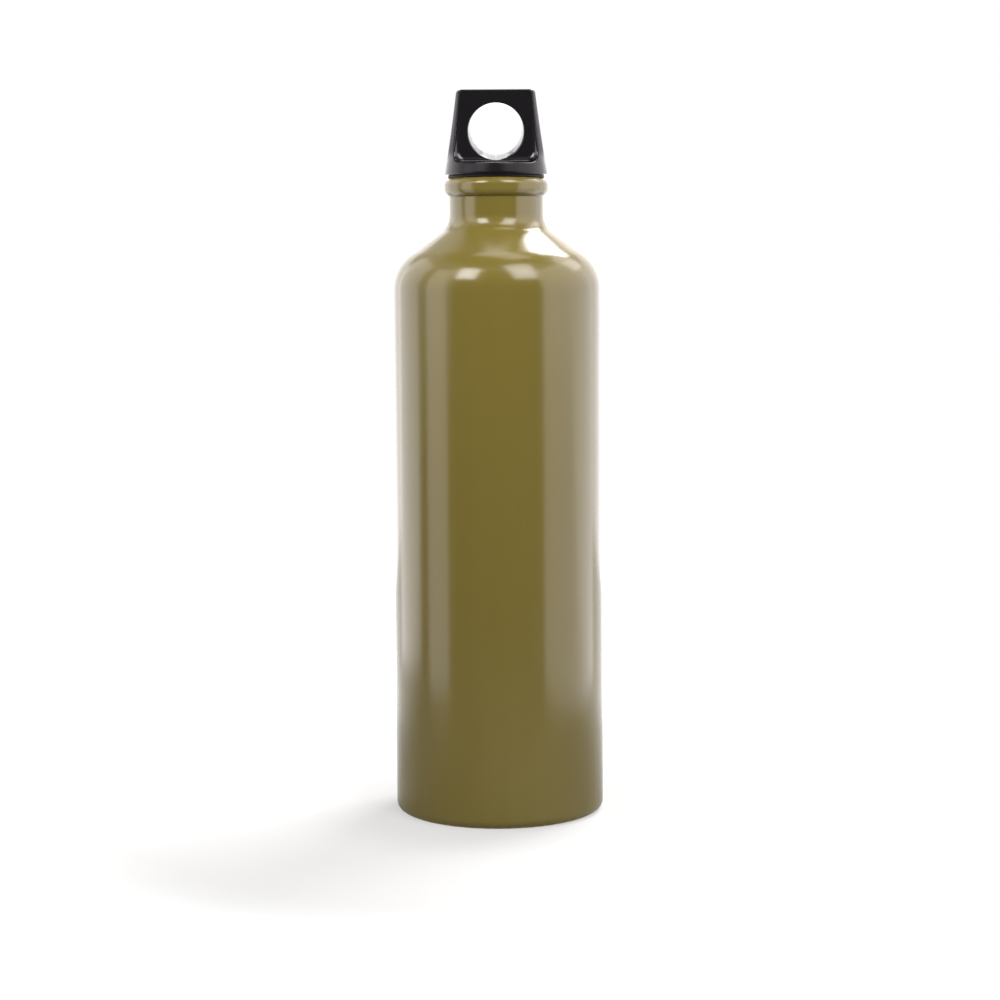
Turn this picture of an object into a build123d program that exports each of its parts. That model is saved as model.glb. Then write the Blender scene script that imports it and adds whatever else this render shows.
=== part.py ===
# Aluminium fuel bottle with a screwed loop cap, in millimetres.
# The origin is the centre of the ring that the bottle stands on. +Z points up through the neck,
# and the cap's loop hole runs along Y when the cap is closed.
from build123d import *
from math import asin, cos, radians, sin, sqrt, tan
import os

# Bottle shell, one aluminium drawing
body_diameter = 73.0
wall_thickness = 1.0
base_thickness = 1.8
base_corner_radius = 2.8
stand_ring_width = 2.6
base_dome_height = 5.5
straight_wall_height = 183.3
shoulder_radius = 16.0
shoulder_slope = 35.0
neck_foot_radius = 7.5
neck_diameter = 33.2
neck_length = 5.75

# Rolled rim at the mouth
rim_overhang = 1.75
rim_height = 6.7
rim_upper_radius = 2.5
rim_lower_radius = 3.1
rim_metal_thickness = 0.95
rim_edge_gap = 0.25
mouth_clearance = 0.9
mouth_lip_depth = 2.0
mouth_lip_radius = 0.7

# Threaded sleeve in the neck, drawn at the thread's pitch line
insert_wall = 2.29
insert_length = 13.0
insert_clearance = 0.03
insert_chamfer = 0.9
thread_height = 1.0
thread_clearance = 0.08

# Seal washer
washer_thickness = 0.9
washer_setback = 1.2
washer_bore_clearance = 0.2

# Cap cover
cap_setback = 0.45
cap_side_hollow = 0.18
cap_base_edge_radius = 0.8
cap_top_edge_radius = 1.3
loop_edge_radius = 0.7

# Scoops in the front and back of the cap, which leave the loop
ledge_height = 4.0
cheek_height = 10.6
scoop_corner_radius = 4.3
scoop_foot_radius = 3.0
loop_thickness = 12.4
loop_draft = 5.0

# Round hole through the loop, and the loop's walls round it
hole_diameter = 17.8
hole_land = 4.0
hole_flare = 1.15
hole_flare_length = 6.4
hole_flare_drop = 1.1
hole_edge_radius = 0.4
loop_foot_wall = 0.78
loop_side_wall = 3.6
loop_top_wall = 4.67

# Hollow threaded plug under the cap
plug_reach = 16.5
plug_wall = 2.4
plug_head_step = 1.2
ledge_floor = 1.5
plug_crown_thickness = 2.2
plug_crown_radius = 1.5
plug_chamfer = 1.0
socket_clearance = 0.02
vent_width = 3.0
vent_depth = 1.2
vent_length = 11.0

# One overrun serves every cut
cut_overrun = 5.0


# Places that follow from the sizes above
body_radius = body_diameter / 2
neck_radius = neck_diameter / 2
rim_radius = neck_radius + rim_overhang
slope_rise = tan(radians(shoulder_slope))
slope_top_radius = neck_radius + neck_foot_radius * (1 - sin(radians(shoulder_slope)))
slope_foot_radius = body_radius - shoulder_radius * (1 - sin(radians(shoulder_slope)))
slope_foot_height = straight_wall_height + shoulder_radius * cos(radians(shoulder_slope))
slope_top_height = slope_foot_height + (slope_foot_radius - slope_top_radius) * slope_rise
neck_foot_height = slope_top_height + neck_foot_radius * cos(radians(shoulder_slope))
rim_bottom = neck_foot_height + neck_length
rim_top = rim_bottom + rim_height
insert_top = rim_top - mouth_lip_depth
cap_bottom = rim_top + washer_thickness
flare_radius = hole_diameter / 2 + hole_flare
flare_centre = cap_bottom + ledge_height + loop_foot_wall + flare_radius
hole_centre = flare_centre + hole_flare_drop
cap_top = hole_centre + hole_diameter / 2 + loop_top_wall
cap_height = cap_top - cap_bottom
cap_base_radius = rim_radius - cap_setback
cap_top_radius = flare_radius + loop_side_wall
insert_radius = neck_radius - wall_thickness - insert_clearance
thread_radius = insert_radius - insert_wall - thread_clearance
plug_head_radius = thread_radius - plug_head_step
plug_head_height = ledge_height - ledge_floor - socket_clearance


def turned(section):
    """Turns a half section, drawn as radius and height, about the bottle's axis."""
    return revolve(Plane.XZ * section, Axis.Z)


def ring(outer_radius, inner_radius, bottom, height):
    """A plain ring that stands on the given height."""
    solid = Cylinder(outer_radius, height) - Cylinder(inner_radius, height + cut_overrun)
    return Pos(0, 0, bottom + height / 2) * solid


def shoulder_outline(inset):
    """The wall from the straight body to the top of the neck, moved in by the inset."""
    body = body_radius - inset
    neck = neck_radius - inset
    lean = radians(shoulder_slope)
    shift_in, shift_down = inset * sin(lean), inset * cos(lean)
    half_lean = radians(45 + shoulder_slope / 2)
    crown = shoulder_radius - inset
    foot = neck_foot_radius + inset
    crown_axis = body_radius - shoulder_radius
    foot_axis = neck_radius + neck_foot_radius
    slope_foot = (slope_foot_radius - shift_in, slope_foot_height - shift_down)
    slope_top = (slope_top_radius - shift_in, slope_top_height - shift_down)
    crown_middle = (crown_axis + crown * sin(half_lean), straight_wall_height + crown * cos(half_lean))
    foot_middle = (foot_axis - foot * sin(half_lean), neck_foot_height - foot * cos(half_lean))
    return [
        ThreePointArc((body, straight_wall_height), crown_middle, slope_foot),
        Line(slope_foot, slope_top),
        ThreePointArc(slope_top, foot_middle, (neck, neck_foot_height)),
    ]


def bottle_wall(inset, floor):
    """The outline from the middle of the base to the top of the shoulder, moved in by the inset."""
    body = body_radius - inset
    corner = base_corner_radius - inset
    ring_outer = body_radius - base_corner_radius
    ring_inner = ring_outer - stand_ring_width
    corner_middle = (ring_outer + corner * sin(radians(45)), floor + corner * (1 - cos(radians(45))))
    return [
        base_dome(ring_inner, floor),
        Line((ring_inner, floor), (ring_outer, floor)),
        ThreePointArc((ring_outer, floor), corner_middle, (body, floor + corner)),
        Line((body, floor + corner), (body, straight_wall_height)),
        *shoulder_outline(inset),
    ]


def base_dome(edge_radius, floor):
    """Half of the dome pushed up into the base, from the axis to the standing ring."""
    sphere = (edge_radius ** 2 + base_dome_height ** 2) / (2 * base_dome_height)
    middle = edge_radius / 2
    drop = sphere - sqrt(sphere ** 2 - middle ** 2)
    top = floor + base_dome_height
    return ThreePointArc((0, top), (middle, top - drop), (edge_radius, floor))


def arc_middle(axis_radius, height, radius, edge_radius):
    """The point half way round from the arc's widest place to where it has the edge's radius."""
    half_turn = (radians(90) + asin((edge_radius - axis_radius) / abs(radius))) / 2
    return axis_radius + abs(radius) * sin(half_turn), height + radius * cos(half_turn)


def curl_outline(inset, top_radius):
    """One side of the curled sheet, from its free end beside the neck up to the top radius."""
    end_radius = neck_radius + rim_edge_gap
    lower, upper = rim_lower_radius - inset, rim_upper_radius - inset
    lower_axis, upper_axis = rim_radius - rim_lower_radius, rim_radius - rim_upper_radius
    lower_height = rim_bottom + sqrt(rim_lower_radius ** 2 - (neck_radius - lower_axis) ** 2)
    upper_height = rim_top - rim_upper_radius
    start = (end_radius, lower_height - sqrt(lower ** 2 - (end_radius - lower_axis) ** 2))
    end = (top_radius, upper_height + sqrt(upper ** 2 - (top_radius - upper_axis) ** 2))
    widest = rim_radius - inset
    lower_middle = arc_middle(lower_axis, lower_height, -lower, end_radius)
    upper_middle = arc_middle(upper_axis, upper_height, upper, top_radius)
    return [
        ThreePointArc(start, lower_middle, (widest, lower_height)),
        Line((widest, lower_height), (widest, upper_height)),
        ThreePointArc((widest, upper_height), upper_middle, end),
    ]


def rolled_rim():
    """The outline of the mouth's edge, turned over outwards so that its end lies close to the neck."""
    neck_wall = neck_radius - wall_thickness
    mouth = thread_radius + thread_height / 2 + mouth_clearance
    lip_top = (mouth + mouth_lip_radius, rim_top)
    lip_foot = (mouth, rim_top - mouth_lip_radius)
    lip_inset = mouth_lip_radius * (1 - sin(radians(45)))
    hollow_side = curl_outline(rim_metal_thickness, neck_radius)
    outer_side = curl_outline(0, rim_radius - rim_upper_radius)
    return [
        Line((neck_radius, neck_foot_height), hollow_side[-1] @ 1),
        *hollow_side,
        Line(hollow_side[0] @ 0, outer_side[0] @ 0),
        *outer_side,
        Line(outer_side[-1] @ 1, lip_top),
        ThreePointArc(lip_top, (mouth + lip_inset, rim_top - lip_inset), lip_foot),
        Line(lip_foot, (mouth, insert_top)),
        Line((mouth, insert_top), (neck_wall, insert_top)),
        Line((neck_wall, insert_top), (neck_wall, neck_foot_height)),
    ]


def bottle_shell():
    """One sheet, from the middle of the base up the outside, round the curl and down the inside."""
    outside = bottle_wall(0, 0)
    inside = bottle_wall(wall_thickness, base_thickness)
    middle = Line(outside[0] @ 0, inside[0] @ 0)
    return turned(make_face([*outside, *rolled_rim(), *inside, middle]))


def neck_insert():
    sleeve = ring(insert_radius, insert_radius - insert_wall, insert_top - insert_length, insert_length)
    mouths = sleeve.edges().filter_by(GeomType.CIRCLE).sort_by(SortBy.RADIUS)[:2]
    return chamfer(mouths, insert_chamfer)


def seal_washer():
    bore = thread_radius + thread_height / 2 + washer_bore_clearance
    return ring(cap_base_radius - washer_setback, bore, rim_top, washer_thickness)


def cap_cone():
    """The cap before it is scooped, with slightly hollow sides and a sharp top edge."""
    base, top = cap_base_radius, cap_top_radius
    side = SagittaArc((base, cap_bottom), (top, cap_top), cap_side_hollow)
    section = make_face([
        side,
        Line((top, cap_top), (0, cap_top)),
        Line((0, cap_top), (0, cap_bottom)),
        Line((0, cap_bottom), (base, cap_bottom)),
    ])
    cone = turned(section)
    rims = cone.edges().filter_by(GeomType.CIRCLE).sort_by(Axis.Z)
    return fillet(rims[0], cap_base_edge_radius)


def round_top(cap):
    """Rounds what is left of the round edge at the cap's top."""
    rims = cap.edges().filter_by(GeomType.CIRCLE).group_by(Axis.Z)
    return fillet(rims[-1], cap_top_edge_radius)


def cap_radius(height):
    """The cone's radius at a height above its base."""
    return cap_base_radius + (cap_top_radius - cap_base_radius) * height / cap_height


def loop_scoop():
    """The material in front of the loop, out to where the cheeks beside it run out."""
    ledge = cap_bottom + ledge_height
    height = cap_height + cut_overrun
    depth = 2 * cap_base_radius
    cheek_radius = cap_radius(cheek_height)
    width = 2 * sqrt(cheek_radius ** 2 - (loop_thickness / 2) ** 2)
    front = Pos(0, ledge + height / 2) * Rectangle(width, height)
    front = fillet(front.vertices().sort_by(Axis.Y)[:2], scoop_corner_radius)
    block = extrude(Plane.XZ * front, depth)
    face_plane = Plane(
        origin=(0, -loop_thickness / 2, hole_centre),
        z_dir=(0, -cos(radians(loop_draft)), sin(radians(loop_draft))),
    )
    scoop = split(block, bisect_by=face_plane, keep=Keep.TOP)
    loop_face = scoop.faces().sort_by(Axis.Y)[-1]
    return fillet(loop_face.edges(), scoop_foot_radius)


def hole_circle(radius, height, depth):
    """An upright circle across the loop, at a height and at a depth in front of the middle."""
    return Plane(origin=(0, -depth, height), z_dir=(0, -1, 0)) * Circle(radius)


def loop_hole():
    """The hole's shape: a short straight land that flares down and out to the faces, and past them."""
    land_end = hole_land / 2
    flare_end = land_end + hole_flare_length
    narrow = hole_circle(hole_diameter / 2, hole_centre, land_end)
    wide = hole_circle(flare_radius, flare_centre, flare_end)
    flare = loft([narrow, wide], ruled=True)
    run_out = extrude(wide, cap_base_radius)
    front = extrude(narrow, -land_end) + flare + run_out
    return front + mirror(front, Plane.XZ)


def cap_loop():
    """The scooped and pierced cone, with its edges rounded."""
    cone, front, hole = cap_cone(), loop_scoop(), loop_hole()
    back = mirror(front, Plane.XZ)
    scooped = round_top(cone - front - back)
    outline = new_edges(round_top(cone), front, back, combined=scooped)
    rounded = fillet(outline, loop_edge_radius)
    pierced = rounded - hole
    mouths = [edge for edge in new_edges(rounded, hole, combined=pierced) if abs(edge.center().Y) > hole_land]
    return fillet(mouths, hole_edge_radius)


def cap_cover():
    """The loop with a socket in its underside for the plug's head."""
    cover = cap_loop()
    socket_height = plug_head_height + socket_clearance
    socket = Cylinder(plug_head_radius + socket_clearance, 2 * socket_height)
    return cover - Pos(0, 0, cap_bottom) * socket


def cap_plug():
    """The stopper: a hollow threaded skirt, closed by a crown that sits up inside the cap."""
    end = rim_top - plug_reach
    skirt_height = cap_bottom - end
    crown_top = cap_bottom + plug_head_height
    skirt = Pos(0, 0, end + skirt_height / 2) * Cylinder(thread_radius, skirt_height)
    head = Pos(0, 0, cap_bottom + plug_head_height / 2) * Cylinder(plug_head_radius, plug_head_height)
    bore_height = crown_top - plug_crown_thickness - end
    bore = Cylinder(thread_radius - plug_wall, bore_height)
    bore = fillet(bore.edges().filter_by(GeomType.CIRCLE).sort_by(Axis.Z)[-1], plug_crown_radius)
    plug = chamfer(skirt.edges().filter_by(GeomType.CIRCLE).sort_by(Axis.Z)[0], plug_chamfer) + head
    plug -= Pos(0, 0, end + bore_height / 2) * bore
    return plug - vent_slot(end)


def vent_slot(end):
    """The upright slot across the thread that lets pressure out before the plug is free."""
    depth = vent_depth + cut_overrun
    across = thread_radius - vent_depth + depth / 2
    slot = Box(depth, vent_width, vent_length + cut_overrun)
    return Pos(across, 0, end + (vent_length - cut_overrun) / 2) * slot


def main():
    os.makedirs("parts", exist_ok=True)
    makers = [bottle_shell, neck_insert, seal_washer, cap_cover, cap_plug]
    for maker in makers:
        name = maker.__name__
        solid = maker()
        solid.label = name
        export_step(solid, f"parts/{name}.step")
        print(name, round(solid.volume, 1))
    print("rim top", round(rim_top, 3), "cap bottom", round(cap_bottom, 3), "cap top", round(cap_top, 3))


main()
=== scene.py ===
# Camping fuel bottle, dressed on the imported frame
import math
import bpy
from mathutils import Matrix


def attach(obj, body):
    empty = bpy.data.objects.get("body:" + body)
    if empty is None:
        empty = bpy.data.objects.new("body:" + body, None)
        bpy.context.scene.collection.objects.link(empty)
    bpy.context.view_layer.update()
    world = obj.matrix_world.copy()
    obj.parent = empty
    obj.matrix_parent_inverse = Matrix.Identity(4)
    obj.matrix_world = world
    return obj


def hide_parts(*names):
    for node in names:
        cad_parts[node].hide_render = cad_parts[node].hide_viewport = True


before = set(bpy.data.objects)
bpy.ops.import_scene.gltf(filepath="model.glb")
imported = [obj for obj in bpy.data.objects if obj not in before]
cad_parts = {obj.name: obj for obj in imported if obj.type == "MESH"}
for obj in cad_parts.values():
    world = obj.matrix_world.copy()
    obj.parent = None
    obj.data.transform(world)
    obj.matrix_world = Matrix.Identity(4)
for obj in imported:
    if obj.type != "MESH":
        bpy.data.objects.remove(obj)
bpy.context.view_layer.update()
mm = 0.001  # the pieces are set out in millimetres, the studio in metres
print("frame loaded:", ", ".join(sorted(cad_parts)))


# selecting and finishing

def clearSelection():
    if bpy.context.mode != "OBJECT":
        bpy.ops.object.mode_set(mode="OBJECT")
    bpy.ops.object.select_all(action="DESELECT")


def activate(piece):
    clearSelection()
    piece.select_set(True)
    bpy.context.view_layer.objects.active = piece


def applyAll(piece):
    activate(piece)
    for modifier in list(piece.modifiers):
        bpy.ops.object.modifier_apply(modifier=modifier.name)


def smoothPiece(piece, sharpAngle):
    activate(piece)
    bpy.ops.object.transform_apply(location=True, rotation=True, scale=True)
    bpy.ops.object.shade_smooth_by_angle(angle=math.radians(sharpAngle), keep_sharp_edges=False)
    weighted = piece.modifiers.new("evenNormals", "WEIGHTED_NORMAL")
    weighted.keep_sharp = True
    applyAll(piece)


def seatPiece(piece, body, slotName, material, *nodes):
    piece.data.materials.clear()
    piece.data.materials.append(material)
    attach(piece, body)
    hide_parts(*nodes)
    print("piece done:", piece.name, len(piece.data.polygons), "faces")


# a section line drawn in the XZ plane, millimetres from the axis and the table

pen = {"radius": 0.0, "height": 0.0}
mergeDistance = 0.001 * mm


def startLine(name, radius, height):
    clearSelection()
    bpy.ops.mesh.primitive_plane_add(size=mm, location=(radius * mm, 0, height * mm))
    piece = bpy.context.object
    piece.name = piece.data.name = name
    bpy.ops.object.mode_set(mode="EDIT")
    bpy.ops.mesh.merge(type="CENTER")  # leaves the one vertex that the line grows from
    pen.update(radius=radius, height=height)
    return piece


def lineTo(radius, height, parts=1):
    step = ((radius - pen["radius"]) * mm / parts, 0, (height - pen["height"]) * mm / parts)
    for part in range(parts):
        bpy.ops.mesh.extrude_region_move(TRANSFORM_OT_translate={"value": step})
    pen.update(radius=radius, height=height)


def arcAbout(radius, height, turn, steps):
    turn = math.radians(turn)  # positive lifts a point that lies outside the centre
    centre = (radius * mm, 0, height * mm)
    bpy.ops.mesh.spin(steps=steps, angle=turn, center=centre, axis=(0, 1, 0))
    out, up = pen["radius"] - radius, pen["height"] - height
    pen.update(
        radius=radius + out * math.cos(turn) - up * math.sin(turn),
        height=height + out * math.sin(turn) + up * math.cos(turn),
    )


def turnLine(segments):
    bpy.ops.mesh.select_all(action="SELECT")
    bpy.ops.mesh.spin(steps=segments, angle=math.tau, center=(0, 0, 0), axis=(0, 0, 1))
    bpy.ops.mesh.select_all(action="SELECT")
    bpy.ops.mesh.remove_doubles(threshold=mergeDistance)
    bpy.ops.mesh.normals_make_consistent(inside=False)
    bpy.ops.object.mode_set(mode="OBJECT")


# shader helpers

def newMaterial(name):
    material = bpy.data.materials.new(name)
    material.use_nodes = True
    nodes = material.node_tree.nodes
    return material, nodes, material.node_tree.links, nodes["Principled BSDF"]


def addNode(nodes, kind, **settings):
    node = nodes.new(kind)
    for key, value in settings.items():
        if key in node.inputs:
            node.inputs[key].default_value = value
        else:
            setattr(node, key, value)
    return node


def newGroup(name, inputs, outputs):
    group = bpy.data.node_groups.new(name, "ShaderNodeTree")
    for label, value in inputs.items():
        kind = "NodeSocketVector" if label == "Vector" else "NodeSocketFloat"
        socket = group.interface.new_socket(label, in_out="INPUT", socket_type=kind)
        if label != "Vector":
            socket.default_value = value
    for label in outputs:
        group.interface.new_socket(label, in_out="OUTPUT", socket_type="NodeSocketFloat")
    return group, group.nodes.new("NodeGroupInput"), group.nodes.new("NodeGroupOutput")


def placeGroup(nodes, links, group, vector, **values):
    node = nodes.new("ShaderNodeGroup")
    node.node_tree = group
    links.new(vector, node.inputs["Vector"])
    for label, value in values.items():
        node.inputs[label].default_value = value
    return node


def multiplyAdd(nodes, links, source, factor, offset):
    node = addNode(nodes, "ShaderNodeMath", operation="MULTIPLY_ADD")
    links.new(source, node.inputs[0])
    node.inputs[1].default_value = factor
    node.inputs[2].default_value = offset
    return node.outputs["Value"]


def ramp(nodes, links, source, low, high, start, end):
    node = addNode(nodes, "ShaderNodeMapRange", interpolation_type="SMOOTHSTEP")
    links.new(source, node.inputs["Value"])
    for label, value in (("From Min", low), ("From Max", high), ("To Min", start), ("To Max", end)):
        node.inputs[label].default_value = value
    return node.outputs["Result"]


def addBump(nodes, links, source, depth, below=None):
    bump = addNode(nodes, "ShaderNodeBump", Strength=1.0, Distance=depth)
    links.new(source, bump.inputs["Height"])
    if below:
        links.new(below, bump.inputs["Normal"])
    return bump.outputs["Normal"]


def mixColours(nodes, links, factor, first, second):
    node = addNode(nodes, "ShaderNodeMix", data_type="RGBA")
    links.new(factor, node.inputs["Factor"])
    for label, value in (("A", first), ("B", second)):
        socket = [socket for socket in node.inputs if socket.name == label and socket.type == "RGBA"][0]
        if isinstance(value, tuple):
            socket.default_value = value
        else:
            links.new(value, socket)
    return [socket for socket in node.outputs if socket.type == "RGBA"][0]


def mixValues(nodes, links, factor, first, second):
    node = addNode(nodes, "ShaderNodeMix", data_type="FLOAT")
    links.new(factor, node.inputs["Factor"])
    for index, value in ((2, first), (3, second)):  # sockets A and B for plain values
        if isinstance(value, float):
            node.inputs[index].default_value = value
        else:
            links.new(value, node.inputs[index])
    return node.outputs[0]


# skin: the slight unevenness of a sprayed or moulded surface

def makeSkinGroup():
    group, inlet, outlet = newGroup(
        "unevenSkin", {"Vector": None, "Grain Scale": 900.0, "Cloud Scale": 30.0}, ["Grain", "Cloud"])
    nodes, links = group.nodes, group.links
    grain = addNode(nodes, "ShaderNodeTexNoise", Detail=2.0, Roughness=0.5)
    cloud = addNode(nodes, "ShaderNodeTexNoise", Detail=3.0, Roughness=0.55)
    links.new(inlet.outputs["Vector"], grain.inputs["Vector"])
    links.new(inlet.outputs["Vector"], cloud.inputs["Vector"])
    links.new(inlet.outputs["Grain Scale"], grain.inputs["Scale"])
    links.new(inlet.outputs["Cloud Scale"], cloud.inputs["Scale"])
    links.new(grain.outputs["Fac"], outlet.inputs["Grain"])
    links.new(cloud.outputs["Fac"], outlet.inputs["Cloud"])
    return group


skinGroup = makeSkinGroup()


def placeSkin(nodes, links, place, look):
    scales = {"Grain Scale": look["grainScale"], "Cloud Scale": look["cloudScale"]}
    return placeGroup(nodes, links, skinGroup, place, **scales)


def cloudyRoughness(nodes, links, skin, look):
    # the look's roughness in the middle of the spread
    spread = look["roughnessSpread"]
    return multiplyAdd(nodes, links, skin.outputs["Cloud"], spread, look["roughness"] - spread / 2)


# olive paint

paint = {
    "colour": (0.206, 0.160, 0.032, 1.0),
    "deepColour": (0.190, 0.147, 0.028, 1.0),
    "roughness": 0.175,
    "roughnessSpread": 0.05,
    "grainScale": 520.0,
    "cloudScale": 24.0,
    "grainDepth": 0.000012,
    "cloudDepth": 0.00004,
    "streakScale": (160.0, 160.0, 5.0),
    "streakDepth": 0.000005,
    "bareColour": (0.66, 0.66, 0.64, 1.0),
    "bareRoughness": 0.36,
    "scuffColour": (0.30, 0.27, 0.16, 1.0),
    "scuffRoughness": 0.6,
    "scuffScale": 420.0,
    "scuffRange": (0.42, 0.6),
    "scuffCover": 0.8,
    "scuffHeight": 1.1,
}


def paintMaterial():
    material, nodes, links, shader = newMaterial("olivePaint")
    place = nodes.new("ShaderNodeTexCoord").outputs["Object"]
    skin = placeSkin(nodes, links, place, paint)
    stretch = addNode(nodes, "ShaderNodeMapping", Scale=paint["streakScale"])
    streak = addNode(nodes, "ShaderNodeTexNoise", Scale=1.0, Detail=3.0, Roughness=0.6)
    links.new(place, stretch.inputs["Vector"])
    links.new(stretch.outputs["Vector"], streak.inputs["Vector"])
    # paint rubbed by the table, in patches on the standing ring alone
    axes = nodes.new("ShaderNodeSeparateXYZ")
    rubbed = addNode(nodes, "ShaderNodeTexNoise", Scale=paint["scuffScale"], Detail=4.0, Roughness=0.7)
    scuff = addNode(nodes, "ShaderNodeMath", operation="MULTIPLY")
    links.new(place, axes.inputs[0])
    links.new(place, rubbed.inputs["Vector"])
    low = ramp(nodes, links, axes.outputs["Z"], 0.0, paint["scuffHeight"] * mm, 1.0, 0.0)
    patches = ramp(nodes, links, rubbed.outputs["Fac"], *paint["scuffRange"], 0.0, paint["scuffCover"])
    links.new(low, scuff.inputs[0])
    links.new(patches, scuff.inputs[1])
    # inside, the metal is bare
    bare = addNode(nodes, "ShaderNodeAttribute", attribute_name="bareInside").outputs["Fac"]
    tone = mixColours(nodes, links, streak.outputs["Fac"], paint["deepColour"], paint["colour"])
    tone = mixColours(nodes, links, scuff.outputs["Value"], tone, paint["scuffColour"])
    links.new(mixColours(nodes, links, bare, tone, paint["bareColour"]), shader.inputs["Base Color"])
    links.new(bare, shader.inputs["Metallic"])
    rough = cloudyRoughness(nodes, links, skin, paint)
    rough = mixValues(nodes, links, scuff.outputs["Value"], rough, paint["scuffRoughness"])
    links.new(mixValues(nodes, links, bare, rough, paint["bareRoughness"]), shader.inputs["Roughness"])
    wave = addBump(nodes, links, skin.outputs["Cloud"], paint["cloudDepth"])
    drawn = addBump(nodes, links, streak.outputs["Fac"], paint["streakDepth"], wave)
    peel = addBump(nodes, links, skin.outputs["Grain"], paint["grainDepth"], drawn)
    links.new(peel, shader.inputs["Normal"])
    return material


# bottle: one drawn sheet, from the middle of the base up the outside and back down inside

bottle = {
    "bodyRadius": 36.5,
    "wall": 1.0,
    "baseWall": 1.8,
    "cornerRadius": 2.8,
    "ringWidth": 2.6,
    "domeHeight": 5.5,
    "wallTop": 183.3,
    "crownRadius": 16.0,
    "slopeAngle": 35.0,
    "footRadius": 7.5,
    "neckRadius": 16.6,
    "neckFootHeight": 209.467,
    "rimRadius": 18.35,
    "rimTop": 221.917,
    "lowerCurl": 3.1,
    "upperCurl": 2.5,
    "lowerCurlHeight": 218.008,
    "curlSheet": 0.95,
    "curlGap": 0.25,
    "mouthRadius": 14.6,
    "mouthFoot": 219.917,
    "lipRadius": 0.7,
    "guard": 0.6,  # a narrow row beside each long wall keeps its shading even
    "floorTop": 9.0,  # the inside of the base lies below this height
    "segments": 256,
    "sharpAngle": 15,
}


def shoulderSide(inset, rising):
    body, neck = bottle["bodyRadius"] - inset, bottle["neckRadius"] - inset
    lean = 90 - bottle["slopeAngle"]
    crown, foot = bottle["crownRadius"] - inset, bottle["footRadius"] + inset
    crownAxis = bottle["bodyRadius"] - bottle["crownRadius"]
    footAxis = bottle["neckRadius"] + bottle["footRadius"]
    footOut = footAxis - foot * math.cos(math.radians(lean))
    footDown = bottle["neckFootHeight"] - foot * math.sin(math.radians(lean))
    crownOut = crownAxis + crown * math.cos(math.radians(lean))
    crownUp = bottle["wallTop"] + crown * math.sin(math.radians(lean))
    if rising:
        arcAbout(crownAxis, bottle["wallTop"], lean, 18)
        lineTo(footOut, footDown, 3)
        arcAbout(footAxis, bottle["neckFootHeight"], -lean, 12)
    else:
        lineTo(neck, bottle["neckFootHeight"])
        arcAbout(footAxis, bottle["neckFootHeight"], lean, 10)
        lineTo(crownOut, crownUp, 2)
        arcAbout(crownAxis, bottle["wallTop"], -lean, 12)
        lineTo(body, bottle["wallTop"] - bottle["guard"])


def domeTurn(edge):
    sphere = (edge ** 2 + bottle["domeHeight"] ** 2) / (2 * bottle["domeHeight"])
    return sphere, math.degrees(math.asin(edge / sphere))


def makeBottle():
    body, wall, guard = bottle["bodyRadius"], bottle["wall"], bottle["guard"]
    corner, base = bottle["cornerRadius"], bottle["baseWall"]
    ringOuter = body - corner
    ringInner = ringOuter - bottle["ringWidth"]
    sphere, turn = domeTurn(ringInner)
    piece = startLine("bottleShell", 0, bottle["domeHeight"])
    arcAbout(0, bottle["domeHeight"] - sphere, -turn, 12)
    lineTo(ringOuter, 0, 2)
    arcAbout(ringOuter, corner, 90, 12)
    lineTo(body, corner + guard)
    lineTo(body, bottle["wallTop"] - guard, 4)
    lineTo(body, bottle["wallTop"])
    shoulderSide(0, True)
    drawCurl()
    lineTo(bottle["mouthRadius"], bottle["mouthFoot"])
    lineTo(bottle["neckRadius"] - wall, bottle["mouthFoot"])
    shoulderSide(wall, False)
    lineTo(body - wall, base + corner)
    arcAbout(ringOuter, base + corner, -90, 6)
    lineTo(ringInner, base + wall)
    lineTo(0, base + bottle["domeHeight"], 6)
    turnLine(bottle["segments"])
    smoothPiece(piece, bottle["sharpAngle"])
    markInside(piece)
    return piece


def markInside(piece):
    # one on the faces that look clearly inwards or up from the base, where no paint reaches
    bare = piece.data.attributes.new("bareInside", "FLOAT", "FACE")
    for face, mark in zip(piece.data.polygons, bare.data):
        outwards = face.center.x * face.normal.x + face.center.y * face.normal.y
        onFloor = face.center.z < bottle["floorTop"] * mm
        inwards = outwards < -0.3 * math.hypot(face.center.x, face.center.y)
        mark.value = float(face.normal.z > 0.1 if onFloor else inwards)


def drawCurl():
    neck, rim, top = bottle["neckRadius"], bottle["rimRadius"], bottle["rimTop"]
    sheet = bottle["curlSheet"]
    lower, upper, lip = bottle["lowerCurl"], bottle["upperCurl"], bottle["lipRadius"]
    lowerAxis, upperAxis = rim - lower, rim - upper
    lowerHeight, upperHeight = bottle["lowerCurlHeight"], top - upper
    endRadius = neck + bottle["curlGap"]
    hollowTurn = math.degrees(math.acos((neck - upperAxis) / (upper - sheet)))
    innerTurn = math.degrees(math.acos((endRadius - lowerAxis) / (lower - sheet)))
    outerTurn = math.degrees(math.acos((endRadius - lowerAxis) / lower))
    hollowUp = math.sin(math.radians(hollowTurn)) * (upper - sheet)
    lineTo(neck, upperHeight + hollowUp, 3)
    arcAbout(upperAxis, upperHeight, -hollowTurn, 6)
    lineTo(rim - sheet, lowerHeight)
    arcAbout(lowerAxis, lowerHeight, -innerTurn, 5)
    lineTo(endRadius, lowerHeight - math.sin(math.radians(outerTurn)) * lower)
    arcAbout(lowerAxis, lowerHeight, outerTurn, 12)
    lineTo(rim, upperHeight)
    arcAbout(upperAxis, upperHeight, 90, 14)
    lineTo(bottle["mouthRadius"] + lip, top)
    arcAbout(bottle["mouthRadius"] + lip, top - lip, 90, 8)


# washer under the cap

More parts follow.
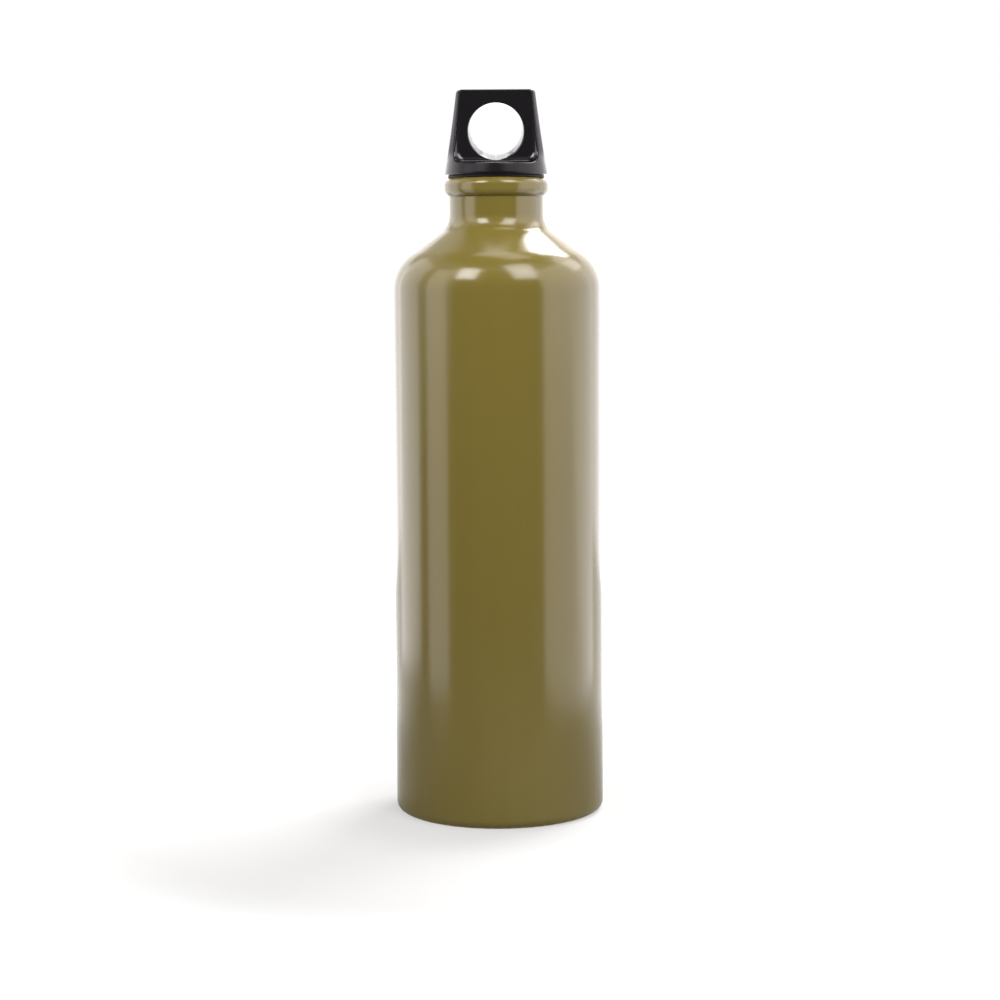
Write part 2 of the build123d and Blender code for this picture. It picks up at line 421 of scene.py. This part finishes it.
washer = {
    "outer": 16.7,
    "bore": 13.9,
    "foot": 221.917,
    "thickness": 0.9,
    "edge": 0.22,
    "segments": 128,
    "sharpAngle": 30,
    "colour": (0.008, 0.008, 0.009, 1.0),
    "shine": 0.15,
    "roughness": 0.6,
    "roughnessSpread": 0.2,
    "grainScale": 2600.0,
    "cloudScale": 150.0,
    "grainDepth": 0.00004,
}


def makeWasher():
    outer, bore, edge = washer["outer"], washer["bore"], washer["edge"]
    foot, top = washer["foot"], washer["foot"] + washer["thickness"]
    piece = startLine("sealWasher", bore + edge, foot)
    lineTo(outer - edge, foot)
    arcAbout(outer - edge, foot + edge, 90, 4)
    lineTo(outer, top - edge)
    arcAbout(outer - edge, top - edge, 90, 4)
    lineTo(bore + edge, top)
    arcAbout(bore + edge, top - edge, 90, 4)
    lineTo(bore, foot + edge)
    arcAbout(bore + edge, foot + edge, 90, 4)
    turnLine(washer["segments"])
    smoothPiece(piece, washer["sharpAngle"])
    return piece


def rubberMaterial():
    material, nodes, links, shader = newMaterial("blackRubber")
    place = nodes.new("ShaderNodeTexCoord").outputs["Object"]
    skin = placeSkin(nodes, links, place, washer)
    shader.inputs["Base Color"].default_value = washer["colour"]
    shader.inputs["Specular IOR Level"].default_value = washer["shine"]
    links.new(cloudyRoughness(nodes, links, skin, washer), shader.inputs["Roughness"])
    grain = addBump(nodes, links, skin.outputs["Grain"], washer["grainDepth"])
    links.new(grain, shader.inputs["Normal"])
    return material


# thread of the neck and the plug: one turn of the section, wound up the axis

thread = {
    "lead": 4.0,
    "foot": 196.0,
    "flank": 0.55,
    "round": 0.16,
    "turns": 9,
    "steps": 128,
    "overrun": 2.0,
    "sharpAngle": 32,
}


def threadedRod(name, root, crest, ridge, bottom, top):
    lead, foot, flank = thread["lead"], thread["foot"], thread["flank"]
    low, high = foot + (lead - ridge) / 2, foot + (lead + ridge) / 2
    piece = startLine(name, root, foot)
    lineTo(root, low - flank)
    lineTo(crest, low)
    lineTo(crest, high)
    lineTo(root, high + flank)
    lineTo(root, foot + lead)
    bpy.ops.mesh.select_all(action="SELECT")
    bpy.ops.mesh.bevel(offset=thread["round"] * mm, segments=2, affect="VERTICES")
    activate(piece)
    bpy.ops.object.transform_apply(location=True, rotation=True, scale=True)
    helix = piece.modifiers.new("helix", "SCREW")
    helix.axis = "Z"
    helix.screw_offset = lead * mm
    helix.iterations = thread["turns"]
    helix.steps = helix.render_steps = thread["steps"]
    applyAll(piece)
    bpy.ops.object.mode_set(mode="EDIT")
    bpy.ops.mesh.select_all(action="SELECT")
    bpy.ops.mesh.remove_doubles(threshold=mergeDistance)
    for height, below in ((bottom, True), (top, False)):
        bpy.ops.mesh.select_all(action="SELECT")
        bpy.ops.mesh.bisect(
            plane_co=(0, 0, height * mm), plane_no=(0, 0, 1), use_fill=True,
            clear_inner=below, clear_outer=not below)
    bpy.ops.mesh.select_all(action="SELECT")
    bpy.ops.mesh.normals_make_consistent(inside=False)
    clearSelection()
    return piece


def shapeWith(piece, tool, operation):
    activate(piece)
    cut = piece.modifiers.new("cut", "BOOLEAN")
    cut.operation = operation
    cut.solver = "EXACT"
    cut.object = tool
    applyAll(piece)
    bpy.data.meshes.remove(tool.data)


# threaded sleeve in the neck

sleeve = {
    "outer": 15.57,
    "bore": 12.95,
    "foot": 206.917,
    "top": 219.917,
    "mouth": 14.18,
    "edge": 0.25,
    "grooveRoot": 12.6,
    "grooveCrest": 13.9,
    "grooveRidge": 1.6,
    "colour": (0.71, 0.71, 0.70, 1.0),
    "roughness": 0.32,
    "roughnessSpread": 0.24,
    "grainScale": 1800.0,
    "cloudScale": 120.0,
    "ringScale": (20.0, 20.0, 9000.0),
    "ringDepth": 0.000012,
}


def makeInsert():
    outer, bore, mouth, edge = sleeve["outer"], sleeve["bore"], sleeve["mouth"], sleeve["edge"]
    foot, top, slope = sleeve["foot"], sleeve["top"], sleeve["mouth"] - sleeve["bore"]
    piece = startLine("neckInsert", mouth, foot)
    lineTo(outer - edge, foot)
    arcAbout(outer - edge, foot + edge, 90, 3)
    lineTo(outer, top - edge)
    arcAbout(outer - edge, top - edge, 90, 3)
    lineTo(mouth, top)
    lineTo(bore, top - slope)
    lineTo(bore, foot + slope)
    lineTo(mouth, foot)
    turnLine(thread["steps"])
    root, crest, ridge = sleeve["grooveRoot"], sleeve["grooveCrest"], sleeve["grooveRidge"]
    over = thread["overrun"]
    shapeWith(piece, threadedRod("groove", root, crest, ridge, foot - over, top + over), "DIFFERENCE")
    smoothPiece(piece, thread["sharpAngle"])
    return piece


def aluminiumMaterial():
    material, nodes, links, shader = newMaterial("turnedAluminium")
    place = nodes.new("ShaderNodeTexCoord").outputs["Object"]
    skin = placeSkin(nodes, links, place, sleeve)
    squeeze = addNode(nodes, "ShaderNodeMapping", Scale=sleeve["ringScale"])
    rings = addNode(nodes, "ShaderNodeTexNoise", Scale=1.0, Detail=2.0, Roughness=0.6)
    links.new(place, squeeze.inputs["Vector"])
    links.new(squeeze.outputs["Vector"], rings.inputs["Vector"])
    shader.inputs["Base Color"].default_value = sleeve["colour"]
    shader.inputs["Metallic"].default_value = 1.0
    links.new(cloudyRoughness(nodes, links, skin, sleeve), shader.inputs["Roughness"])
    links.new(addBump(nodes, links, rings.outputs["Fac"], sleeve["ringDepth"]), shader.inputs["Normal"])
    return material


# plug: the hollow threaded stopper, with a vent slot across its thread

plug = {
    "bore": 10.8,
    "end": 205.417,
    "endRadius": 12.25,
    "crest": 13.7,
    "root": 12.7,
    "ridge": 1.35,
    "runOut": 218.3,
    "relief": 12.6,
    "reliefFoot": 219.8,
    "capBottom": 222.817,
    "head": 12.0,
    "headTop": 225.297,
    "hollowTop": 223.097,
    "crownRadius": 1.5,
    "edge": 0.3,
    "blankOver": 0.2,  # the blank is a little wider than the thread that cuts it
    "slotWidth": 3.0,
    "slotFloor": 12.0,
    "slotTop": 216.417,
    "slotDepth": 4.0,
    "slotEdge": 0.4,
    "colour": (0.009, 0.008, 0.010, 1.0),
    "shine": 0.35,
    "roughness": 0.38,
    "roughnessSpread": 0.2,
    "grainScale": 2200.0,
    "cloudScale": 110.0,
    "grainDepth": 0.000015,
}


def makePlug():
    bore, end, edge, crown = plug["bore"], plug["end"], plug["edge"], plug["crownRadius"]
    blank, over = plug["crest"] + plug["blankOver"], thread["overrun"]
    piece = startLine("capPlug", 0, plug["hollowTop"])
    lineTo(bore - crown, plug["hollowTop"], 3)
    arcAbout(bore - crown, plug["hollowTop"] - crown, -90, 6)
    lineTo(bore, end + edge)
    arcAbout(bore + edge, end + edge, 90, 3)
    lineTo(plug["endRadius"], end)
    lineTo(blank, end + blank - plug["endRadius"])
    lineTo(blank, plug["runOut"])
    lineTo(plug["relief"], plug["reliefFoot"])
    lineTo(plug["relief"], plug["capBottom"])
    lineTo(plug["head"], plug["capBottom"])
    lineTo(plug["head"], plug["headTop"] - edge)
    arcAbout(plug["head"] - edge, plug["headTop"] - edge, 90, 3)
    lineTo(0, plug["headTop"], 3)
    turnLine(thread["steps"])
    root, crest, ridge = plug["root"], plug["crest"], plug["ridge"]
    rod = threadedRod("ridge", root, crest, ridge, end - over, plug["headTop"] + over)
    shapeWith(piece, rod, "INTERSECT")
    shapeWith(piece, makeSlot(), "DIFFERENCE")
    smoothPiece(piece, thread["sharpAngle"])
    return piece


def makeSlot():
    clearSelection()
    depth, low, high = plug["slotDepth"], plug["end"] - thread["overrun"], plug["slotTop"]
    middle = ((plug["slotFloor"] + depth / 2) * mm, 0, (low + high) / 2 * mm)
    bpy.ops.mesh.primitive_cube_add(size=mm, location=middle)
    slot = bpy.context.object
    slot.name = "slot"
    slot.scale = (depth, plug["slotWidth"], high - low)
    bpy.ops.object.transform_apply(location=True, rotation=True, scale=True)
    bpy.ops.object.mode_set(mode="EDIT")
    bpy.ops.mesh.select_all(action="SELECT")
    bpy.ops.mesh.bevel(offset=plug["slotEdge"] * mm, segments=3)
    clearSelection()
    return slot


def plugMaterial():
    material, nodes, links, shader = newMaterial("plugPlastic")
    place = nodes.new("ShaderNodeTexCoord").outputs["Object"]
    skin = placeSkin(nodes, links, place, plug)
    shader.inputs["Base Color"].default_value = plug["colour"]
    shader.inputs["Specular IOR Level"].default_value = plug["shine"]
    links.new(cloudyRoughness(nodes, links, skin, plug), shader.inputs["Roughness"])
    links.new(addBump(nodes, links, skin.outputs["Grain"], plug["grainDepth"]), shader.inputs["Normal"])
    return material


# cap: the moulded loop

cap = {
    "sharpAngle": 28,
    "colour": (0.007, 0.006, 0.008, 1.0),
    "roughness": 0.15,
    "roughnessSpread": 0.1,
    "grainScale": 1400.0,
    "cloudScale": 90.0,
    "grainDepth": 0.000006,
    "cloudDepth": 0.00002,
    "foot": 222.817,
    "footRadius": 17.9,
    "taper": 0.144,
    "coneDepth": (0.55, 0.3),  # polished below the first depth under the cone, satin above the second
    "coneShine": 0.2,
    "baseDullness": 0.15,
    "sideDullness": 0.45,
    "sideRange": (228.0, 232.0),
}


def makeCap():
    clearSelection()
    piece = bpy.data.objects.new("capCover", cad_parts["cap_cover"].data.copy())
    bpy.context.scene.collection.objects.link(piece)
    activate(piece)
    bpy.ops.object.mode_set(mode="EDIT")
    bpy.ops.mesh.select_all(action="SELECT")
    bpy.ops.mesh.remove_doubles(threshold=mergeDistance)
    bpy.ops.object.mode_set(mode="OBJECT")
    smoothPiece(piece, cap["sharpAngle"])
    return piece


def capMaterial():
    material, nodes, links, shader = newMaterial("blackPlastic")
    place = nodes.new("ShaderNodeTexCoord").outputs["Object"]
    skin = placeSkin(nodes, links, place, cap)
    shader.inputs["Base Color"].default_value = cap["colour"]
    rough = cloudyRoughness(nodes, links, skin, cap)
    # the cone outside is satin, and the scoops and the hole are polished
    axes = nodes.new("ShaderNodeSeparateXYZ")
    flat = addNode(nodes, "ShaderNodeCombineXYZ")
    outward = addNode(nodes, "ShaderNodeVectorMath", operation="LENGTH")
    links.new(place, axes.inputs[0])
    links.new(axes.outputs["X"], flat.inputs["X"])
    links.new(axes.outputs["Y"], flat.inputs["Y"])
    links.new(flat.outputs["Vector"], outward.inputs[0])
    taper, footRadius, foot = cap["taper"], cap["footRadius"] * mm, cap["foot"] * mm
    level = multiplyAdd(nodes, links, axes.outputs["Z"], taper, -footRadius - taper * foot)
    beyond = addNode(nodes, "ShaderNodeMath", operation="ADD")
    links.new(outward.outputs["Value"], beyond.inputs[0])
    links.new(level, beyond.inputs[1])
    deep, shallow = cap["coneDepth"]
    satin = ramp(nodes, links, beyond.outputs["Value"], -deep * mm, -shallow * mm, 0.0, 1.0)
    # it is duller beside the loop than round the base
    low, high = cap["sideRange"]
    coarse = ramp(
        nodes, links, axes.outputs["Z"], low * mm, high * mm, cap["baseDullness"], cap["sideDullness"])
    dull = addNode(nodes, "ShaderNodeMath", operation="MULTIPLY")
    links.new(satin, dull.inputs[0])
    links.new(coarse, dull.inputs[1])
    total = addNode(nodes, "ShaderNodeMath", operation="ADD")
    links.new(rough, total.inputs[0])
    links.new(dull.outputs["Value"], total.inputs[1])
    links.new(total.outputs["Value"], shader.inputs["Roughness"])
    shine = multiplyAdd(nodes, links, satin, cap["coneShine"] - 0.5, 0.5)
    links.new(shine, shader.inputs["Specular IOR Level"])
    wave = addBump(nodes, links, skin.outputs["Cloud"], cap["cloudDepth"])
    grain = addBump(nodes, links, skin.outputs["Grain"], cap["grainDepth"], wave)
    links.new(grain, shader.inputs["Normal"])
    return material


bottleShell = makeBottle()
seatPiece(bottleShell, "bottle", "olive_paint", paintMaterial(), "bottle_shell")
sealWasher = makeWasher()
seatPiece(sealWasher, "seal", "black_rubber", rubberMaterial(), "seal_washer")
capCover = makeCap()
seatPiece(capCover, "cap", "black_plastic", capMaterial(), "cap_cover")
neckInsert = makeInsert()
seatPiece(neckInsert, "bottle", "bare_aluminium", aluminiumMaterial(), "neck_insert")
capPlug = makePlug()
seatPiece(capPlug, "cap", "plug_plastic", plugMaterial(), "cap_plug")


# studio: floor, world, lamps and camera

studio = {
    "floorSize": 4.0,
    "floorColour": (0.48, 0.48, 0.48, 1.0),
    "nearGlow": 0.37,
    "midGlow": 0.50,
    "farGlow": 1.15,
    "nearRadius": 0.036,
    "midRadius": 0.085,
    "edgeRadius": 0.13,
    "farRadius": 0.24,
    "fill": 0.16,
    "floorFill": 0.085,
    "floorBright": (-0.05, 0.15),
    "dimSide": 0.12,
    "dimFront": (-0.68, -0.60),
    "dimCeiling": (0.76, 0.90),
}

# glow is radiance; a lamp that isn't matt shows in shiny surfaces alone,
# and the sun, which throws the long shadow, lights the floor alone
lamps = {
    "keyLamp": {"place": (0.281, 0.468, 0.851), "aim": 0.2, "size": (0.34, 0.34), "glow": 16.0},
    "floorSun": {
        "place": (0.80, 0.60, 1.3), "aim": 0.0, "size": (0.3, 0.3), "glow": 16.0, "floorOnly": True},
    "sideLamp": {
        "place": (0.56, 0.31, 0.72), "aim": 0.2, "size": (0.34, 0.40), "glow": 3.0, "matt": False},
    "rightWindow": {
        "place": (0.240, -0.358, 0.60), "aim": 0.2, "size": (0.27, 0.4), "glow": 10.5, "spread": 78,
        "shadow": False},
    "leftWindow": {
        "place": (-0.279, -0.381, 0.56), "aim": 0.2, "size": (0.22, 0.27), "glow": 14.5, "spread": 78,
        "shadow": False},
    "backScreen": {
        "place": (0.03, 0.55, 0.2), "aim": 0.2, "size": (1.4, 0.7), "glow": 1.6, "matt": False},
    "topScreen": {
        "place": (0.0, 0.5, 0.68), "aim": 0.25, "size": (0.36, 0.3), "glow": 2.4, "matt": False},
    "ceilingStrip": {
        "place": (0.06, 0.07, 0.95), "aim": 0.2, "size": (0.44, 0.26), "glow": 2.9, "matt": False},
    "rightCard": {
        "place": (0.228, -0.02, 0.21), "aim": 0.21, "size": (0.34, 0.42), "glow": 2.1, "matt": False},
    "leftCard": {
        "place": (-0.246, -0.1113, 0.205), "aim": 0.205, "size": (0.121, 0.43), "glow": 2.2,
        "matt": False},
    "leftBackCard": {
        "place": (-0.235, 0.086, 0.2165), "aim": 0.2165, "size": (0.182, 0.407), "glow": 2.0,
        "matt": False},
}
warmWhite = (1.0, 0.98, 0.97)
palePink = (1.0, 0.95, 0.975)

camera = {
    "place": (0.00075, -0.82, 0.195),
    "pitch": -4.743,
    "roll": -0.366,
    "lens": 84.28,
    "shift": -0.05,
}


def seenByViewer(nodes, links, bright):
    # one where a camera ray looks, and where a mirror or glass ray looks towards the bright side
    path = nodes.new("ShaderNodeLightPath")
    either = addNode(nodes, "ShaderNodeMath", operation="MAXIMUM")
    lit = addNode(nodes, "ShaderNodeMath", operation="MULTIPLY")
    seen = addNode(nodes, "ShaderNodeMath", operation="MAXIMUM")
    links.new(path.outputs["Is Glossy Ray"], either.inputs[0])
    links.new(path.outputs["Is Transmission Ray"], either.inputs[1])
    links.new(either.outputs["Value"], lit.inputs[0])
    links.new(bright, lit.inputs[1])
    links.new(lit.outputs["Value"], seen.inputs[0])
    links.new(path.outputs["Is Camera Ray"], seen.inputs[1])
    return path, seen.outputs["Value"]


def makeFloor():
    clearSelection()
    bpy.ops.mesh.primitive_circle_add(
        vertices=96, radius=studio["floorSize"], fill_type="NGON", location=(0, 0, 0))
    floor = bpy.context.object
    floor.name = "floor"
    material, nodes, links, shader = newMaterial("glowingTable")
    shader.inputs["Base Color"].default_value = studio["floorColour"]
    shader.inputs["Roughness"].default_value = 0.9
    shader.inputs["Specular IOR Level"].default_value = 0.0
    shader.inputs["Emission Color"].default_value = (1.0, 1.0, 1.0, 1.0)
    place = nodes.new("ShaderNodeTexCoord").outputs["Object"]
    axes = nodes.new("ShaderNodeSeparateXYZ")
    away = addNode(nodes, "ShaderNodeVectorMath", operation="LENGTH")
    links.new(place, axes.inputs[0])
    links.new(place, away.inputs[0])
    brightSide = ramp(nodes, links, axes.outputs["Y"], *studio["floorBright"], 0.0, 1.0)
    # painted light: the floor glows at a plain level round the bottle, where the shadow falls, and
    # brighter, to white, far away
    near = ramp(
        nodes, links, away.outputs["Value"], studio["nearRadius"], studio["midRadius"],
        studio["nearGlow"], studio["midGlow"])
    far = ramp(
        nodes, links, away.outputs["Value"], studio["edgeRadius"], studio["farRadius"],
        0.0, studio["farGlow"] - studio["midGlow"])
    glow = addNode(nodes, "ShaderNodeMath", operation="ADD")
    links.new(near, glow.inputs[0])
    links.new(far, glow.inputs[1])
    path, seen = seenByViewer(nodes, links, brightSide)
    shown = addNode(nodes, "ShaderNodeMath", operation="MULTIPLY")
    strength = addNode(nodes, "ShaderNodeMath", operation="MAXIMUM")
    links.new(glow.outputs["Value"], shown.inputs[0])
    links.new(seen, shown.inputs[1])
    links.new(shown.outputs["Value"], strength.inputs[0])
    # painted light: diffuse rays see the floor glow faintly, which lights the bottle from below
    fill = multiplyAdd(nodes, links, path.outputs["Is Diffuse Ray"], studio["floorFill"], 0.0)
    links.new(fill, strength.inputs[1])
    links.new(strength.outputs["Value"], shader.inputs["Emission Strength"])
    floor.data.materials.append(material)
    return floor


def makeWorld():
    world = bpy.data.worlds.new("studioWorld")
    bpy.context.scene.world = world
    world.use_nodes = True
    nodes, links = world.node_tree.nodes, world.node_tree.links
    background = nodes["Background"]
    direction = nodes.new("ShaderNodeTexCoord").outputs["Generated"]
    axes = nodes.new("ShaderNodeSeparateXYZ")
    links.new(direction, axes.inputs[0])
    # the studio is dim towards -Y, inside a cone of about fifty degrees, and overhead
    brightSide = ramp(nodes, links, axes.outputs["Y"], *studio["dimFront"], studio["dimSide"], 1.0)
    belowCeiling = ramp(nodes, links, axes.outputs["Z"], *studio["dimCeiling"], 1.0, studio["dimSide"])
    bright = addNode(nodes, "ShaderNodeMath", operation="MINIMUM")
    links.new(brightSide, bright.inputs[0])
    links.new(belowCeiling, bright.inputs[1])
    path, seen = seenByViewer(nodes, links, bright.outputs["Value"])
    strength = addNode(nodes, "ShaderNodeMath", operation="MAXIMUM")
    fill = multiplyAdd(nodes, links, path.outputs["Is Diffuse Ray"], studio["fill"], 0.0)
    links.new(seen, strength.inputs[0])
    links.new(fill, strength.inputs[1])
    links.new(strength.outputs["Value"], background.inputs["Strength"])
    background.inputs["Color"].default_value = (1.0, 1.0, 1.0, 1.0)


def aimAt(thing, target):
    direction = [b - a for a, b in zip(thing.location, target)]
    flat = math.hypot(direction[0], direction[1])
    thing.rotation_euler = (math.atan2(flat, -direction[2]), 0, math.atan2(-direction[0], direction[1]))


def makeLamps(floor):
    for name, lamp in lamps.items():
        clearSelection()
        bpy.ops.object.light_add(type="AREA", location=lamp["place"])
        piece = bpy.context.object
        piece.name = name
        width, height = lamp["size"]
        half = math.radians(lamp.get("spread", 180)) / 2
        focus = math.tan(half) / (math.tan(half) - half)  # a narrow beam is brighter along its middle
        light = piece.data
        light.shape = "RECTANGLE"
        light.size, light.size_y = width, height
        light.spread = 2 * half
        light.energy = lamp["glow"] * math.pi * width * height / focus
        light.color = warmWhite if lamp.get("matt", True) else palePink
        light.use_shadow = lamp.get("shadow", True)
        piece.visible_camera = False
        piece.visible_diffuse = lamp.get("matt", True)
        aimAt(piece, (0.0, 0.0, lamp["aim"]))
        if lamp.get("floorOnly"):
            onlyFloor = bpy.data.collections.new(name)
            onlyFloor.objects.link(floor)
            piece.light_linking.receiver_collection = onlyFloor


def makeCamera():
    clearSelection()
    bpy.ops.object.camera_add(
        location=camera["place"], rotation=(math.radians(90 + camera["pitch"]), 0, 0))
    viewer = bpy.context.object
    viewer.rotation_euler.rotate_axis("Z", math.radians(camera["roll"]))
    viewer.data.lens = camera["lens"]
    viewer.data.shift_y = camera["shift"]
    bpy.context.scene.camera = viewer


floor = makeFloor()
makeWorld()
makeLamps(floor)
makeCamera()
bpy.context.scene.view_settings.view_transform = "Standard"
print("studio done")
